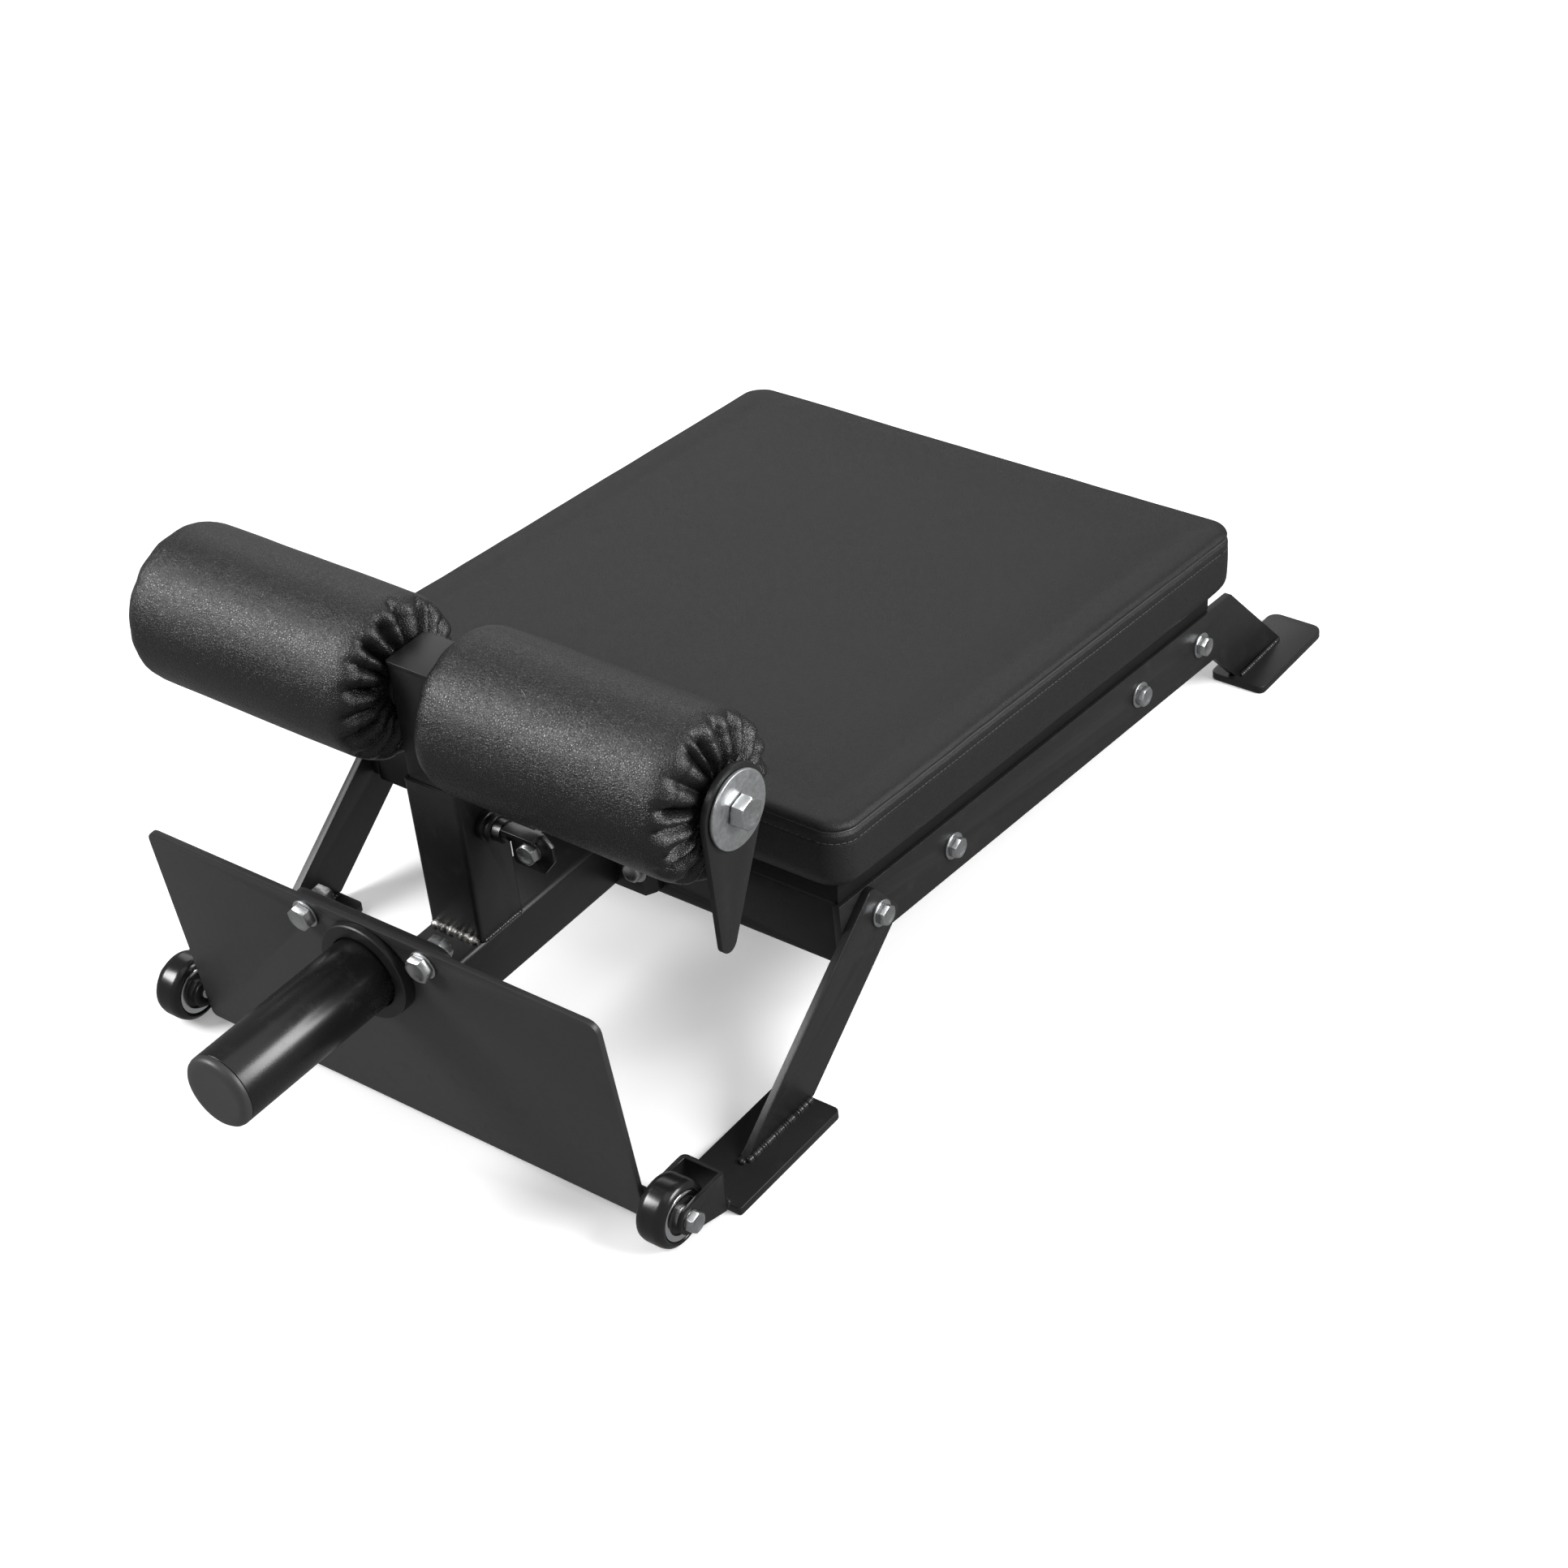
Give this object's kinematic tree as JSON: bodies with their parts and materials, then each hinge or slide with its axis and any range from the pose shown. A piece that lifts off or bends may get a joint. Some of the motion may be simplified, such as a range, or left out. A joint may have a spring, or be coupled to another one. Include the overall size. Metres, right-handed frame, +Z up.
{
  "type": "roman chair",
  "caption": "Low floor bench with a declined padded seat, adjustable ankle rollers on a post, a foot plate, a weight peg and transport wheels.",
  "frame": {"origin": "centre of the bounding box at floor level, midway between the peg's front end and the rear feet", "axes": "+X to the release lever's side, which is on the right when looking from the foot plate towards the seat; +Y from the foot plate to the rear feet; +Z up"},
  "size_m": [0.4816, 0.916, 0.3422],
  "materials": {
    "black_coat": "satin black powder coat",
    "zinc": "zinc plated",
    "chrome": "polished",
    "tyre": "smooth satin black",
    "black_plastic": "fine matte",
    "bare_steel": "turned steel",
    "plywood": "stained dark",
    "leather": "pebbled black synthetic leather"
  },
  "bodies": {
    "frame": {"base_plate_right": "black_coat", "base_plate_left": "black_coat", "wheel_fork_right": "black_coat", "wheel_fork_left": "black_coat", "base_cross_bar": "black_coat", "front_leg_right": "black_coat", "front_leg_left": "black_coat", "side_rail_right": "black_coat", "side_rail_left": "black_coat", "rear_foot_right": "black_coat", "rear_foot_left": "black_coat", "front_cross_rail": "black_coat", "rear_cross_rail": "black_coat", "seat_bracket_right": "black_coat", "seat_bracket_left": "black_coat", "main_beam": "black_coat", "beam_end_plate": "black_coat", "beam_flange": "black_coat", "foot_plate": "black_coat", "peg_collar": "black_coat", "weight_peg": "black_coat", "upright_sleeve": "black_coat", "rail_bolt_right_1": "zinc", "rail_bolt_right_2": "zinc", "rail_bolt_right_3": "zinc", "rail_bolt_right_4": "zinc", "rail_bolt_left_1": "zinc", "rail_bolt_left_2": "zinc", "rail_bolt_left_3": "zinc", "rail_bolt_left_4": "zinc", "foot_plate_bolt_right": "zinc", "foot_plate_bolt_left": "zinc", "beam_bolt_right": "zinc", "beam_bolt_left": "zinc", "wheel_axle_right": "zinc", "wheel_axle_left": "zinc", "peg_end_cap": "black_plastic", "pin_housing": "black_plastic", "seat_board": "plywood", "seat_cushion": "leather"},
    "wheel_right": {"wheel_tyre_right": "tyre", "wheel_bearing_right": "chrome"},
    "wheel_left": {"wheel_tyre_left": "tyre", "wheel_bearing_left": "chrome"},
    "post": {"post": "black_coat", "post_cap": "black_coat", "roller_axle": "bare_steel", "end_collar": "black_coat", "axle_washer_right": "zinc", "axle_washer_left": "zinc", "axle_bolt_right": "zinc", "axle_bolt_left": "zinc"},
    "roller_right": {"roller_pad_right": "leather", "roller_core_right": "black_plastic"},
    "roller_left": {"roller_pad_left": "leather", "roller_core_left": "black_plastic"},
    "lever": {"release_lever": "black_coat"},
    "pin": {"pull_pin": "zinc", "pin_tab": "zinc", "pin_nut": "zinc"}
  },
  "joints": [
    {"name": "wheel_right_spin", "type": "hinge", "parent": "frame", "child": "wheel_right", "pos_m": [0.207, -0.3045, 0.0238], "axis": [1, 0, 0], "continuous": true},
    {"name": "wheel_left_spin", "type": "hinge", "parent": "frame", "child": "wheel_left", "pos_m": [-0.207, -0.3045, 0.0238], "axis": [1, 0, 0], "continuous": true},
    {"name": "post_slide", "type": "slide", "parent": "frame", "child": "post", "axis": [0, 0, 1], "range_m": [0, 0.06]},
    {"name": "roller_right_spin", "type": "hinge", "parent": "post", "child": "roller_right", "pos_m": [0.12, -0.2255, 0.2872], "axis": [1, 0, 0], "continuous": true},
    {"name": "roller_left_spin", "type": "hinge", "parent": "post", "child": "roller_left", "pos_m": [-0.12, -0.2255, 0.2872], "axis": [1, 0, 0], "continuous": true},
    {"name": "lever_turn", "type": "hinge", "parent": "post", "child": "lever", "pos_m": [0.2275, -0.2255, 0.2872], "axis": [1, 0, 0], "range_deg": [-45, 75]},
    {"name": "pin_pull", "type": "slide", "parent": "frame", "child": "pin", "axis": [1, 0, 0], "range_m": [0, 0.01], "stiffness_N_per_m": 600, "springref_m": -0.005}
  ]
}
